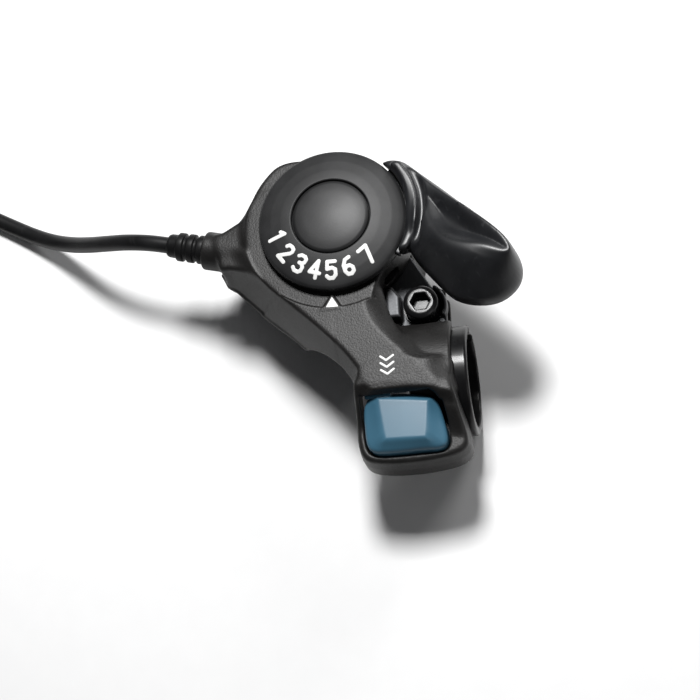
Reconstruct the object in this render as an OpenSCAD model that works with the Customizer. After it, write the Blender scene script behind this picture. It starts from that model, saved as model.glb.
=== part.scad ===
// Bicycle thumb shifter for a flat handlebar: dial pod, thumb lever, release button and bar clamp.
// Millimetres. The origin is the centre of the clamp band's bore, with +X along the handlebar.
// +Z is the dial's axis. The part lies on its underside, as it would on a bench.

/* [Handlebar clamp] */
// Diameter of the handlebar that the band grips
bar_d = 22.2; // [22:0.1:22.4]
// Width of the clamp band along the bar
band_w = 14; // [13:0.5:14]
// Thickness of the band's steel strip
band_t = 2; // [1.8:0.1:2]
// Gap between the two clamping lugs
lug_gap = 4.8; // [4:0.2:4.8]
// Thread diameter of the pinch bolt
bolt_d = 5; // [4:0.5:5]

/* [Dial and lever] */
// Diameter of the number dial
dial_d = 35.6; // [35:0.1:36]
// Diameter of the centre cap
cap_d = 18.4; // [16:0.2:18.4]
// Height of the dial's dome above its edge
dome_h = 2.6; // [2:0.1:3]
// Height of the paddle's thumb face above the lever's underside
paddle_h = 12; // [10:0.5:12]

/* [Cable mechanism] */
// Radius at which the inner wire lies on the drum
drum_pitch_r = 8.9; // [8.5:0.1:9]
// Diameter of the inner wire
wire_d = 1.2; // [1:0.1:1.2]
// Diameter of the cable housing
cord_d = 4; // [4:0.1:4.2]
// Angle of the cable outlet away from the bar's direction
outlet_angle = 15.5; // [15:0.5:16]
// Lever angle of each gear from the stored position
gear_angles = [73, 52, 34, 17, 0, -17, -40];

/* [Release button] */
// Travel of the release button along +Y
press_travel = 3; // [2.5:0.1:3]

/* [Hidden] */
$fn = 64;
bar_r = bar_d / 2;
band_r = bar_r + band_t;
floor_z = -band_r;
fit_gap = 0.05;
bar_clear_r = bar_r + 0.2;
band_clear_r = band_r + 0.25;
dial_x = -21.9;
dial_y = 37.2;

// Heights of the parts stacked on the centre axle
cup_floor_z = floor_z + 2;
split_z = 3;
plate_z0 = 4.2;
plate_z1 = 5.8;
washer_z1 = 6.4;
drum_z0 = 6.6;
cable_z = 10;
drum_z1 = 12.6;
wheel_z0 = 13.2;
wheel_z1 = 15;
guide_z0 = 11.8;
guide_z1 = 13.3;
pawl_z0 = 13.5;
pawl_z1 = 14.9;
roof_z0 = 15.2;
land_z = 16.2;
arm_z = 17.2;
button_z0 = 7;
button_edge_z = 12.8;
button_z1 = 14.9;
hub_z0 = 16.8;
hub_z1 = 18.2;
lever_z0 = 17.7;

// Radii of the pod
cavity_r = 15.8;
pod_r = 17.6;
flange_r = 26;
axle_r = 3;
bush_r = 4.2;
wheel_r = 12;
dial_r = dial_d / 2;
cap_r = cap_d / 2;

// Pinch bolt and the lugs it draws together
bolt_r = bolt_d / 2;
bolt_x = -3.2;
bolt_y = 17.1;
lug_z = lug_gap / 2;
lug_t = plate_z0 - lug_z;
nut_h = 4;
head_r = 4.25;

// Screws that hold the two shells together, about the dial axis
screw_angles = [140, 182, 238];
screw_r = 18.9;

// Pawl geometry, measured from the dial axis
pawl_x = -3;
pawl_y = -17.6;
tongue_x = 6.4;
pawl_tip = [-8, -9.7];
pawl_half_w = 1.1;
slider_w = 3.2;
nose_y = dial_y + pawl_y - pawl_half_w - slider_w / 2 - 0.25;
slot_y0 = 1;
slot_y1 = 8;

// Direction of the cable at the outlet, and its tangent point on the drum
out_dir = [-cos(outlet_angle), sin(outlet_angle)];
out_n = [-sin(outlet_angle), -cos(outlet_angle)];
tangent_x = dial_x + drum_pitch_r * out_n[0];
tangent_y = dial_y + drum_pitch_r * out_n[1];
boss_r = 4.7;
boss_t1 = 31.5;
cap_t0 = 31.6;
cap_t1 = 41;
wrap_angle = 98;
nipple_angle = wrap_angle - 90 - outlet_angle;

// Free run of the cable housing: places chosen along the floor, heights above the floor
cord_r = cord_d / 2;
route = [
    [-63.6, 39.5, 23.1], [-69, 41, 22.8], [-75, 42.7, 21], [-81, 44.6, 17.6],
    [-87, 47, 13], [-93, 49.8, 8.4], [-99, 52.9, 4.8], [-105, 56.3, 2.8],
    [-111, 59.9, 2.1], [-117, 63.5, 2], [-123, 67.2, 2], [-129, 70.9, 2],
    [-132.8, 73.2, 2]
];
route_sides = 10;
coil_x = -146;
coil_y = 52;
coil_outer_r = 25;
coil_inner_r = 21;
coil_top_r = 23;
coil_h = 7.6;
tail_angle = 202;
// The tail's centreline: distance past the coil, and height above the floor
tail_route = [[0, 6.1], [12, 6.1], [15, 5.95], [18, 5.5], [21, 4.8], [24, 4], [27, 3.35],
    [30, 2.95], [33, 2.9], [36, 2.9]];
tail_len = 36;
tail_z = 2.9;

// Moves the drawing to the dial axis
module at_dial() translate([dial_x, dial_y, 0]) children();

// Ring of rectangular section about the dial axis
module ring(r0, r1, z0, z1) {
    difference() {
        translate([0, 0, z0]) cylinder(r = r1, h = z1 - z0);
        translate([0, 0, z0 - 1]) cylinder(r = r0, h = z1 - z0 + 2);
    }
}

// Cylinder along the bar
module along_bar(r, x0, x1) {
    translate([x0, 0, 0]) rotate([0, 90, 0]) cylinder(r = r, h = x1 - x0);
}

// Cylinder along the cable outlet, between two distances from the tangent point
module along_outlet(r, t0, t1) {
    translate([tangent_x, tangent_y, cable_z])
        rotate([0, 0, 180 - outlet_angle])
            rotate([0, 90, 0]) translate([0, 0, t0]) cylinder(r = r, h = t1 - t0);
}

// Solid lofted through sections of equal point count
module loft(sections) {
    n = len(sections[0]);
    m = len(sections);
    points = [for (s = sections) for (p = s) p];
    sides = [for (i = [0 : m - 2]) for (j = [0 : n - 1]) for (half = [0, 1])
        half == 0 ? [i * n + j, (i + 1) * n + (j + 1) % n, i * n + (j + 1) % n]
            : [i * n + j, (i + 1) * n + j, (i + 1) * n + (j + 1) % n]];
    start = [for (j = [0 : n - 1]) j];
    end = [for (j = [0 : n - 1]) (m - 1) * n + n - 1 - j];
    polyhedron(points = points, faces = concat(sides, [start, end]), convexity = 6);
}

// Vector helpers for swept tubes
function unit(v) = v / norm(v);
function tangent(p, i) = unit(p[min(i + 1, len(p) - 1)] - p[max(i - 1, 0)]);
function side_of(t) = unit(cross([0, 0, 1], t));
function ring_at(p, i, r, n) =
    let (t = tangent(p, i), s = side_of(t), u = cross(t, s))
    [for (k = [0 : n - 1]) p[i] + r * (cos(360 * k / n) * s + sin(360 * k / n) * u)];

// Tube swept along a list of points
module tube(p, r, n) {
    loft([for (i = [0 : len(p) - 1]) ring_at(p, i, r, n)]);
}

// Helical wire about +Z with square-cut ends
function helix(r, z0, pitch, turns, steps) =
    [for (i = [0 : steps * turns]) [r * cos(360 * i / steps), r * sin(360 * i / steps),
        z0 + pitch * i / steps]];

// ---- Housing shells ----

// Cross-section of the arm at one place along Y: base, bevel edge and top
function arm_section(y, base_left, bevel_right, top_right, top_left) = [
    [base_left, y, split_z], [bevel_right, y, split_z], [bevel_right, y, 13],
    [top_right, y, arm_z], [top_left, y, arm_z]];

// Flat side wall from the cable outlet to the arm
function flank_section(y, low, top) = [
    [low, y, split_z], [dial_x - 2, y, split_z], [dial_x - 2, y, land_z - 0.1],
    [top, y, land_z - 0.1]];

module flank() {
    loft([
        flank_section(33, -51.5, -43.2), flank_section(30.2, -50.4, -42.6),
        flank_section(24.4, -46, -39), flank_section(21.1, -42.1, -35.6),
        flank_section(15.5, -35.9, -30.2), flank_section(10.5, -31.4, -25.4),
        flank_section(6.8, -28.8, -22.2)]);
}

module arm_outer() {
    loft([
        arm_section(19, -38, -12.4, -16.8, -33.6), arm_section(12, -33, -9.4, -13.9, -27.5),
        arm_section(6, -28.5, -5.2, -10.6, -21.8), arm_section(0, -24, 0.6, -4.4, -17.6),
        arm_section(-5, -21.6, 3.6, -0.6, -16)]);
}

module block_outline() {
    polygon([[-20.6, -4], [-20.2, -16], [-19, -20], [-16.6, -21.6], [-8, -22.6], [2.6, -21.8],
        [5.6, -20], [6.3, -17.4], [3.8, -4]]);
}

// Side walls, hood and rear rim round the release button
module block_outer() {
    difference() {
        translate([0, 0, 2]) linear_extrude(arm_z - 2) block_outline();
        translate([-30, -5.2, arm_z]) rotate([-42, 0, 0]) translate([0, -30, 0]) cube([50, 30, 20]);
        translate([-30, -40, 11]) cube([50, 27.6, 10]);
    }
}

// Side of the pod where the lever sweeps: here the wall keeps to the small radius
module lever_side() {
    intersection() {
        ring(pod_r, 40, floor_z - 5, arm_z + 5);
        translate([0, 0, floor_z - 6]) linear_extrude(arm_z - floor_z + 12)
            polygon([[0, 0], [24, -50], [60, -50], [60, 60], [-22, 46]]);
    }
}

// Flared wall of the upper shell
module pod_outer() {
    difference() {
        rotate_extrude() polygon([[0, split_z], [flange_r, split_z], [flange_r, split_z + 1.2],
            [25, split_z + 2], [21.6, land_z - 0.6], [20.8, land_z], [0, land_z]]);
        lever_side();
    }
}

// Cup of the lower shell, flared up to the flange
module cup_outer() {
    difference() {
        rotate_extrude() polygon([[0, floor_z], [20.8, floor_z], [22.2, floor_z + 1.4], [24.6, -2],
            [flange_r, 1.8], [flange_r, split_z], [0, split_z]]);
        lever_side();
    }
}

// Wall that widens into the cable outlet
module outlet_nose() {
    hull() {
        at_dial() rotate([0, 0, 186]) translate([18, -9, split_z]) cube([2, 18, 12.2]);
        at_dial() rotate([0, 0, 186]) translate([27.2, -4.6, split_z]) cube([2, 9.2, 11.6]);
    }
    along_outlet(boss_r, 20, boss_t1);
}

// Shoulder of the housing that wraps over the band
module shoulder() {
    rotate([90, 0, 90]) rotate([0, 0, 30]) rotate_extrude(angle = 84)
        translate([bar_r + 1, -10]) square([band_clear_r + 1.9 - bar_r - 1, 13.6]);
}

module pawl_pocket() {
    at_dial() translate([0, 0, guide_z0]) linear_extrude(roof_z0 - guide_z0)
        polygon([[-14, -10], [-12, -15.6], [-8, -20.4], [7.9, -20.4], [8.6, -14], [4, -10]]);
}

module slider_channel() {
    translate([dial_x + tongue_x - 2.1, -8, guide_z0]) cube([4.2, 27, roof_z0 - guide_z0]);
}

// Space that the guide plate closes from below
module arm_hollow() {
    loft([
        [[-33.5, 18.6, 0], [-14.6, 18.6, 0], [-14.6, 18.6, guide_z1], [-33.5, 18.6, guide_z1]],
        [[-29.4, 12, 0], [-12.2, 12, 0], [-12.2, 12, guide_z1], [-29.4, 12, guide_z1]],
        [[-19.2, -3.4, 0], [-9.2, -3.4, 0], [-9.2, -3.4, guide_z1], [-19.2, -3.4, guide_z1]]]);
}

// Room for the button, open at the top and running forward under the hood
module button_pocket() {
    translate([-18.9, -20.6, button_z0 - 0.5]) cube([20.6, 10, 12]);
    translate([-18.9, -16, 12.8]) cube([20.6, 14.4, roof_z0 - 12.8]);
    translate([0, 0, button_z0 - 0.5]) linear_extrude(roof_z0 - button_z0 + 0.5) hull() {
        button_outline(0.1);
        translate([0, press_travel + 0.4]) button_outline(0.1);
    }
}

module upper_housing() {
    color([0.13, 0.13, 0.13]) difference() {
        union() {
            at_dial() pod_outer();
            outlet_nose();
            flank();
            arm_outer();
            block_outer();
            shoulder();
        }
        at_dial() translate([0, 0, split_z - 1]) cylinder(r = cavity_r, h = roof_z0 - split_z + 1);
        at_dial() cylinder(r = 7.4, h = 30);
        at_dial() translate([0, 0, land_z]) cylinder(r = 21.4, h = 4);
        pawl_pocket();
        slider_channel();
        arm_hollow();
        button_pocket();
        along_bar(bar_clear_r, -60, 20);
        along_bar(band_clear_r, -band_w / 2 - 0.3, 20);
        along_outlet(2.2, 0, cap_t1);
        bracket_clearance();
        bolt_clearance();
        at_dial() for (a = screw_angles) rotate([0, 0, a]) translate([screw_r, 0, 0])
            cylinder(r = 1.15, h = 12);
        at_dial() translate([pawl_x, pawl_y, 0]) cylinder(r = 1.05, h = land_z - 0.25);
    }
    color([0.13, 0.13, 0.13]) pointer_tab();
}

// Raised tab that carries the pointer mark
module pointer_tab() {
    at_dial() rotate([0, 0, -95]) translate([0, 0, land_z]) linear_extrude(0.9)
        polygon([[18.7, -0.6], [18.7, 0.6], [21.6, 2.0], [22.8, 2.0], [22.8, -2.0], [21.6, -2.0]]);
}

module lower_housing() {
    color([0.1, 0.1, 0.1]) difference() {
        union() {
            at_dial() cup_outer();
            at_dial() rotate([0, 0, 186]) translate([0, 0, 1.2]) linear_extrude(split_z - 1.2)
                polygon([[20, -11], [29.6, -5], [29.6, 5], [20, 11]]);
            translate([0, 0, -1]) linear_extrude(split_z + 1)
                polygon([[-40, 22], [-33.6, 12.4], [-12, 12.4], [-12, 20], [-20, 30]]);
        }
        at_dial() translate([0, 0, cup_floor_z]) cylinder(r = cavity_r, h = 40);
        along_bar(bar_clear_r, -60, 20);
        bracket_clearance();
        at_dial() for (a = screw_angles) rotate([0, 0, a]) translate([screw_r, 0, 0]) {
            translate([0, 0, -20]) cylinder(r = 1.2, h = 30);
            translate([0, 0, -20]) cylinder(r = 2.7, h = 14);
        }
    }
}

// Flat floor under the slider and the pawl
module guide_plate() {
    color([0.2, 0.2, 0.2]) difference() {
        translate([0, 0, guide_z0]) linear_extrude(guide_z1 - guide_z0 - 0.02)
            polygon([[-32.2, 18.4], [-14.8, 18.4], [-12.5, 12], [-9.5, -3.2], [-18.9, -3.2],
                [-29, 12]]);
        at_dial() cylinder(r = cavity_r + 0.1, h = 40);
        at_dial() translate([pawl_x, pawl_y, 0]) cylinder(r = 1.05, h = 40);
    }
    color([0.2, 0.2, 0.2]) translate([dial_x + tongue_x - 0.55, slot_y1 - 0.8, guide_z1 - 0.1])
        cube([1.1, 0.6, 1.5]);
}

// ---- Bracket and clamp ----

module cheek_outline(grow) {
    polygon([[-11.6 - grow, 14.4 - grow], [-8.2 + grow, 14.4 - grow], [-8.2 + grow, 19.6 + grow],
        [-10, 22.4 + grow], [-11.6 - grow, 21.6 + grow]]);
}

module bracket_outline(grow) {
    polygon([[dial_x + 3, dial_y - 12 - grow], [-11.4 - grow, 12.8 - grow],
        [2.2 + grow, 12.8 - grow], [2.2 + grow, 20 + grow], [-1, 22.8 + grow],
        [dial_x + 14.6, dial_y - 3 + grow]]);
}

module bracket_clearance() {
    translate([0, 0, plate_z0 - 0.1]) linear_extrude(plate_z1 - plate_z0 + 0.2) bracket_outline(0.2);
    translate([0, 0, plate_z1]) linear_extrude(4.2) cheek_outline(0.3);
}

module bolt_clearance() {
    translate([bolt_x, bolt_y, 0]) cylinder(r = head_r + 0.6, h = 30);
    translate([-8.6, 12.4, -6]) cube([14, 12, plate_z1 + 6]);
}

// Steel plate that carries the axle and is drawn to the band by the pinch bolt
module base_bracket() {
    color([0.42, 0.42, 0.44]) difference() {
        union() {
            at_dial() translate([0, 0, plate_z0]) cylinder(r = 15.4, h = plate_z1 - plate_z0);
            translate([0, 0, plate_z0]) linear_extrude(plate_z1 - plate_z0) bracket_outline(0);
            translate([0, 0, plate_z1]) linear_extrude(3.8) cheek_outline(0);
            translate([bolt_x, bolt_y, plate_z1]) rotate([0, 0, -30]) rotate_extrude(angle = 90)
                translate([5.1, 0]) square([0.8, 2.4]);
        }
        at_dial() cylinder(r = axle_r + 0.02, h = 30);
        translate([bolt_x, bolt_y, 0]) cylinder(r = bolt_r + 0.15, h = 30);
    }
}

// Steel band round the bar with its two lugs
module clamp_band() {
    color([0.07, 0.07, 0.07]) difference() {
        union() {
            along_bar(band_r, -band_w / 2, band_w / 2);
            translate([-8.4, 10.5, lug_z]) cube([10.6, 12, lug_t]);
            translate([-8.4, 10.5, -plate_z0]) cube([10.6, 12, lug_t]);
        }
        along_bar(bar_r, -20, 20);
        along_bar(bar_r + 1.2, -20, -band_w / 2);
        translate([-20, 5, -lug_z]) cube([40, 20, lug_gap]);
        translate([bolt_x, bolt_y, -20]) cylinder(r = bolt_r + 0.2, h = 40);
    }
}

module bolt_washer() {
    color([0.25, 0.25, 0.26]) translate([bolt_x, bolt_y, 0])
        ring(bolt_r + 0.15, 4.6, plate_z1, plate_z1 + 0.8);
}

module clamp_bolt() {
    color([0.08, 0.08, 0.08]) translate([bolt_x, bolt_y, plate_z1 + 0.8]) difference() {
        union() {
            cylinder(r = head_r, h = 4.6);
            rotate([180, 0, 0]) cylinder(r = bolt_r, h = 17);
        }
        translate([0, 0, 2]) cylinder(r = 2.31, h = 6, $fn = 6);
    }
}

module clamp_nut() {
    color([0.5, 0.5, 0.5]) difference() {
        translate([bolt_x - 4, bolt_y - 4, -plate_z0 - nut_h]) cube([8, 8, nut_h]);
        translate([bolt_x, bolt_y, -20]) cylinder(r = bolt_r + 0.02, h = 40);
    }
}

// ---- Axle stack ----

module centre_axle() {
    color([0.6, 0.6, 0.62]) at_dial() difference() {
        union() {
            translate([0, 0, plate_z0 - 1.6]) cylinder(r = 5, h = 1.6);
            translate([0, 0, cup_floor_z]) cylinder(r = 2.4, h = plate_z0 - cup_floor_z);
            translate([0, 0, plate_z0]) cylinder(r = axle_r, h = hub_z1 + 0.4 - plate_z0);
        }
        translate([0, 0, 8]) cylinder(r = 1.55, h = 20);
    }
}

module axle_screw() {
    color([0.6, 0.6, 0.62]) at_dial() {
        difference() {
            translate([0, 0, hub_z1 + 0.9]) cylinder(r = 3.4, h = 1.4);
            translate([0, 0, hub_z1 + 1.5]) cylinder(r = 1.4, h = 4, $fn = 6);
        }
        translate([0, 0, 9]) cylinder(r = 1.5, h = hub_z1 + 0.9 - 9);
    }
}

module axle_washer() {
    color([0.65, 0.65, 0.66]) at_dial() ring(1.6, 5.2, hub_z1 + 0.4, hub_z1 + 0.9);
}

module thrust_washer() {
    color([0.75, 0.72, 0.6]) at_dial() ring(axle_r + fit_gap, 7, plate_z1, washer_z1);
}

module axle_bushing() {
    color([0.72, 0.6, 0.35]) at_dial() ring(axle_r + fit_gap, bush_r, washer_z1 + 0.1, hub_z1);
}

// Coil spring that turns the drum back when the pawl lets go
module return_spring() {
    color([0.7, 0.7, 0.72]) at_dial() tube(helix(7.4, -10, 1.9, 6, 16), 0.7, 8);
}

// Grooved drum that winds the inner wire
module cable_drum() {
    color([0.75, 0.75, 0.74]) at_dial() difference() {
        rotate_extrude() polygon([[bush_r + 0.02, drum_z0], [10.4, drum_z0], [10.4, cable_z - 0.9],
            [8.3, cable_z - 0.9], [8.3, cable_z + 0.9], [10.4, cable_z + 0.9], [10.4, drum_z1],
            [6, drum_z1], [6, wheel_z0], [bush_r + 0.02, wheel_z0]]);
        rotate([0, 0, nipple_angle]) translate([drum_pitch_r - 0.6, 0, cable_z - 2.5])
            cylinder(r = 2, h = 12);
    }
}

module wire_nipple() {
    color([0.65, 0.65, 0.6]) at_dial() rotate([0, 0, nipple_angle])
        translate([drum_pitch_r - 0.6, 0, cable_z - 2.4]) cylinder(r = 1.9, h = 4.8);
}

// Part of the inner wire that lies on the drum
module inner_wire_wrap() {
    color([0.7, 0.7, 0.7]) at_dial() rotate([0, 0, -90 - outlet_angle])
        rotate_extrude(angle = wrap_angle - 15) translate([drum_pitch_r, cable_z])
            circle(r = wire_d / 2, $fn = 24);
}

module inner_wire_run() {
    color([0.7, 0.7, 0.7]) along_outlet(wire_d / 2, 5.4, cap_t1 - 4.1);
}

// Toothed wheel with one seat for each gear
module ratchet_wheel() {
    tip_angle = atan2(pawl_tip[1], pawl_tip[0]);
    color([0.68, 0.68, 0.66]) at_dial() difference() {
        ring(bush_r + 0.02, wheel_r, wheel_z0, wheel_z1);
        for (g = gear_angles) rotate([0, 0, tip_angle - g]) translate([wheel_r - 1.2, 0, 0])
            rotate([0, 0, 12]) translate([0, -1.1, wheel_z0 - 1]) cube([4, 1.9, 4]);
    }
}

// ---- Lever, dial and cap ----

module paddle() {
    top = lever_z0 + paddle_h;
    difference() {
        hull() {
            translate([16, 1.5, lever_z0]) cylinder(r = 9, h = 3);
            translate([24, -9, lever_z0]) cylinder(r = 9.5, h = 4.4);
        }
        translate([0, 0, lever_z0 - 1]) cylinder(r = dial_r + 0.1, h = 20);
    }
    hull() {
        translate([25, -8.5, lever_z0]) cylinder(r = 8.6, h = 3.4, $fn = 32);
        translate([33, -17, lever_z0]) cylinder(r = 8.6, h = 3, $fn = 32);
        translate([30.2, -5.6, lever_z0 + 2]) cylinder(r = 2.2, h = 3.4, $fn = 32);
        translate([37.2, -12.6, lever_z0 + 3]) cylinder(r = 3.4, h = top - lever_z0 - 4, $fn = 32);
        translate([40.4, -17.6, lever_z0 + 1]) cylinder(r = 4.2, h = top - lever_z0 - 1, $fn = 32);
        translate([36.6, -21.4, lever_z0]) cylinder(r = 4.8, h = 8, $fn = 32);
    }
}

// Sector of the hub that reaches out under the dial's edge
module lever_neck(r0, grow) {
    intersection() {
        ring(r0, dial_r + 0.5 + grow, hub_z0 - 4 * grow, hub_z1);
        translate([0, 0, 10]) linear_extrude(20)
            polygon([[0, -grow], [30, -21 - grow], [30, 24 + grow], [0, grow]]);
    }
}

module thumb_lever() {
    color([0.11, 0.115, 0.125]) at_dial() difference() {
        union() {
            ring(bush_r + 0.02, 7, wheel_z1, hub_z0);
            ring(bush_r + 0.02, 16.7, hub_z0, hub_z1);
            lever_neck(16.5, 0);
            paddle();
        }
        for (a = [60, 180, 300]) rotate([0, 0, a]) translate([11.5, 0, hub_z0 - 1])
            cylinder(r = 1.3, h = 5);
    }
}

// Domed dial, notched where the lever leaves it
module number_dial() {
    color([0.14, 0.14, 0.14]) at_dial() {
        difference() {
            rotate_extrude() polygon([[5.6, hub_z1], [16.9, hub_z1], [16.9, land_z + 0.4],
                [dial_r - 0.1, land_z + 0.4], [dial_r, land_z + 0.7], [dial_r, hub_z1 + 0.3],
                [dial_r - 0.5, hub_z1 + 0.75], [14.6, hub_z1 + 1.7], [12, hub_z1 + 2.25],
                [cap_r + 0.15, hub_z1 + dome_h + 0.05], [cap_r + 0.15, hub_z1 + 1.6],
                [5.6, hub_z1 + 1.6]]);
            lever_neck(15, 0.15);
        }
        for (a = [60, 180, 300]) rotate([0, 0, a]) translate([11.5, 0, hub_z0])
            cylinder(r = 1.2, h = hub_z1 - hub_z0);
    }
}

module centre_cap() {
    color([0.15, 0.15, 0.15]) at_dial() rotate_extrude()
        polygon([[0, hub_z1 + 2.6], [5.4, hub_z1 + 2.6], [5.4, hub_z1 + 1.65], [7, hub_z1 + 1.65],
            [cap_r, hub_z1 + 1.65], [cap_r, hub_z1 + dome_h], [6, hub_z1 + dome_h + 0.55],
            [3, hub_z1 + dome_h + 0.85], [1, hub_z1 + dome_h + 0.95],
            [0, hub_z1 + dome_h + 0.95]]);
}

// ---- Release ----

module button_outline(grow) {
    polygon([[-18 - grow, -8], [-16.6, -6.4 + grow], [-11, -6 + grow], [-2, -8 + grow],
        [0.2 + grow, -9.8], [1.6 + grow, -17.6], [0.8 + grow, -20.2], [-7, -20.4],
        [-16.4, -20.2], [-18 - grow, -17.4]]);
}

module release_button() {
    color([0.22, 0.4, 0.5]) difference() {
        union() {
            translate([0, 0, button_z0]) linear_extrude(6) button_outline(-0.3);
            hull() {
                translate([0, 0, button_edge_z]) linear_extrude(0.6) button_outline(-0.3);
                translate([0, 0, button_z1 - 0.3]) linear_extrude(0.3)
                    polygon([[-14.2, -7.6], [-2.6, -9.2], [-1.6, -18], [-13.2, -18]]);
            }
            translate([-17, -8, 13.4]) cube([6, 3, 1.4]);
        }
        along_bar(bar_clear_r + 0.4, -60, 20);
        hull() {
            along_bar(band_clear_r + 0.1, -60, 20);
            translate([0, -press_travel, 0]) along_bar(band_clear_r + 0.1, -60, 20);
        }
        translate([-30, -14.4, 0]) cube([60, 14.4, 11]);
        translate([-16.5, -19, 5]) cube([15, 4, 7]);
    }
}

// Flat bar that carries the button's push to the pawl
module release_slider() {
    color([0.3, 0.3, 0.3]) difference() {
        translate([dial_x + tongue_x, 0, pawl_z0]) linear_extrude(pawl_z1 - pawl_z0) union() {
            translate([-slider_w / 2, -5]) square([slider_w, nose_y + 5]);
            translate([0, nose_y]) circle(r = slider_w / 2);
        }
        translate([dial_x + tongue_x - 0.7, slot_y0, pawl_z0 - 1]) cube([1.4, slot_y1 - slot_y0, 4]);
    }
}

// Small compression spring between the slider's slot and the housing
module release_spring() {
    color([0.72, 0.72, 0.74]) translate([dial_x + tongue_x, slot_y0 + 0.2, (pawl_z0 + pawl_z1) / 2])
        rotate([-90, 0, 0]) tube(helix(0.5, 0, 0.82, 7, 8), 0.13, 6);
}

module pawl() {
    tip = pawl_tip - [pawl_x, pawl_y];
    color([0.7, 0.7, 0.68]) at_dial() translate([pawl_x, pawl_y, pawl_z0]) difference() {
        linear_extrude(pawl_z1 - pawl_z0) union() {
            circle(r = 2.2);
            polygon([[-1.6, -pawl_half_w], [tongue_x - pawl_x + 1.2, -pawl_half_w],
                [tongue_x - pawl_x + 1.2, 0.6],
                [1.6, 1.5], tip + [0.5, -1.2], tip + [0.35, -0.3], tip + [-0.75, -1.05], [-2.1, 0.6]]);
        }
        translate([0, 0, -1]) cylinder(r = 1.05, h = 5);
    }
}

module pawl_pin() {
    color([0.6, 0.6, 0.62]) at_dial() translate([pawl_x, pawl_y, guide_z0])
        cylinder(r = 1, h = land_z - 0.3 - guide_z0);
}

// Light coil on the pawl's far side
module pawl_spring() {
    color([0.72, 0.72, 0.74]) at_dial() translate([-12.3, -13.2, (pawl_z0 + pawl_z1) / 2])
        rotate([0, 90, 0]) tube(helix(0.5, 0, 0.86, 5, 8), 0.14, 6);
}

module housing_screws() {
    color([0.3, 0.3, 0.31]) at_dial() for (a = screw_angles) rotate([0, 0, a])
        translate([screw_r, 0, 0]) {
            difference() {
                translate([0, 0, -8]) cylinder(r = 2.4, h = 2);
                translate([0, 0, -9]) cylinder(r = 1.1, h = 2, $fn = 6);
            }
            translate([0, 0, -6]) cylinder(r = 1.1, h = 16);
        }
}

// ---- Cable ----

module outlet_end_cap() {
    color([0.12, 0.12, 0.12]) difference() {
        union() {
            along_outlet(3, cap_t0, cap_t1 - 0.6);
            along_outlet(2.6, cap_t1 - 0.6, cap_t1);
            for (t = [cap_t0, cap_t0 + 2.6, cap_t0 + 5.2]) along_outlet(3.5, t, t + 1.5);
        }
        along_outlet(0.9, cap_t0 - 1, cap_t1 + 1);
        along_outlet(cord_r + fit_gap, cap_t1 - 4, cap_t1 + 1);
    }
}

route_points = concat([[tangent_x + (cap_t1 - 3.9) * out_dir[0],
    tangent_y + (cap_t1 - 3.9) * out_dir[1], cable_z]],
    [for (p = route) [p[0], p[1], floor_z + p[2]]]);

module cable_housing() {
    color([0.1, 0.1, 0.1]) tube(route_points, cord_r, route_sides);
}

module cable_coil() {
    color([0.1, 0.1, 0.1]) translate([coil_x, coil_y, floor_z]) rotate_extrude()
        polygon([[coil_inner_r - cord_r, 0.3], [coil_inner_r - cord_r + 0.6, 0],
            [coil_outer_r + cord_r - 0.6, 0], [coil_outer_r + cord_r, 0.3],
            [coil_outer_r + cord_r, 3.2], [coil_top_r + cord_r, coil_h],
            [coil_top_r - cord_r, coil_h], [coil_inner_r - cord_r, 3.2]]);
}

// Places a shape on the straight tail of the coil
module on_tail() {
    translate([coil_x, coil_y, floor_z + tail_z]) rotate([0, 0, tail_angle])
        translate([coil_top_r, 0, 0]) rotate([-90, 0, 0]) children();
}

module cable_tail() {
    color([0.1, 0.1, 0.1]) translate([coil_x, coil_y, floor_z]) rotate([0, 0, tail_angle])
        tube([for (p = tail_route) [coil_top_r, p[0], p[1]]], cord_r, route_sides);
}

module far_end_cap() {
    color([0.55, 0.55, 0.57]) on_tail() difference() {
        union() {
            translate([0, 0, tail_len - 6]) cylinder(r = 2.5, h = 8);
            translate([0, 0, tail_len - 6]) cylinder(r = 2.8, h = 1.2);
        }
        translate([0, 0, tail_len - 7]) cylinder(r = cord_r + fit_gap, h = 7);
        cylinder(r = wire_d / 2 + 0.2, h = 40);
    }
}

module inner_wire_tail() {
    color([0.7, 0.7, 0.7]) on_tail() translate([0, 0, tail_len]) cylinder(r = wire_d / 2, h = 9);
}

module wire_tip() {
    color([0.75, 0.75, 0.76]) on_tail() translate([0, 0, tail_len + 9]) cylinder(r = 0.9, h = 5);
}

// Open clip that snaps over the coiled turns
module coil_clip() {
    color([0.16, 0.16, 0.16]) translate([coil_x, coil_y, floor_z]) rotate([0, 0, 118])
        difference() {
            translate([coil_inner_r - cord_r - 1, -3, 0.2])
                cube([coil_outer_r - coil_inner_r + 2 * cord_r + 2, 6, coil_h + 0.8]);
            rotate_extrude() polygon([[coil_inner_r - cord_r - 0.05, -1],
                [coil_outer_r + cord_r + 0.05, -1], [coil_outer_r + cord_r + 0.05, 3.25],
                [coil_top_r + cord_r + 0.05, coil_h + 0.05], [coil_top_r - cord_r - 0.05,
                coil_h + 0.05], [coil_inner_r - cord_r - 0.05, 3.25]]);
        }
}

upper_housing();
lower_housing();
guide_plate();
base_bracket();
clamp_band();
clamp_bolt();
bolt_washer();
clamp_nut();
centre_axle();
axle_screw();
axle_washer();
thrust_washer();
return_spring();
pawl_pin();
housing_screws();
outlet_end_cap();
inner_wire_run();
cable_housing();
cable_coil();
cable_tail();
coil_clip();
far_end_cap();
inner_wire_tail();
wire_tip();
thumb_lever();
number_dial();
centre_cap();
axle_bushing();
cable_drum();
ratchet_wheel();
wire_nipple();
inner_wire_wrap();
release_button();
release_slider();
release_spring();
pawl();
pawl_spring();
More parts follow.
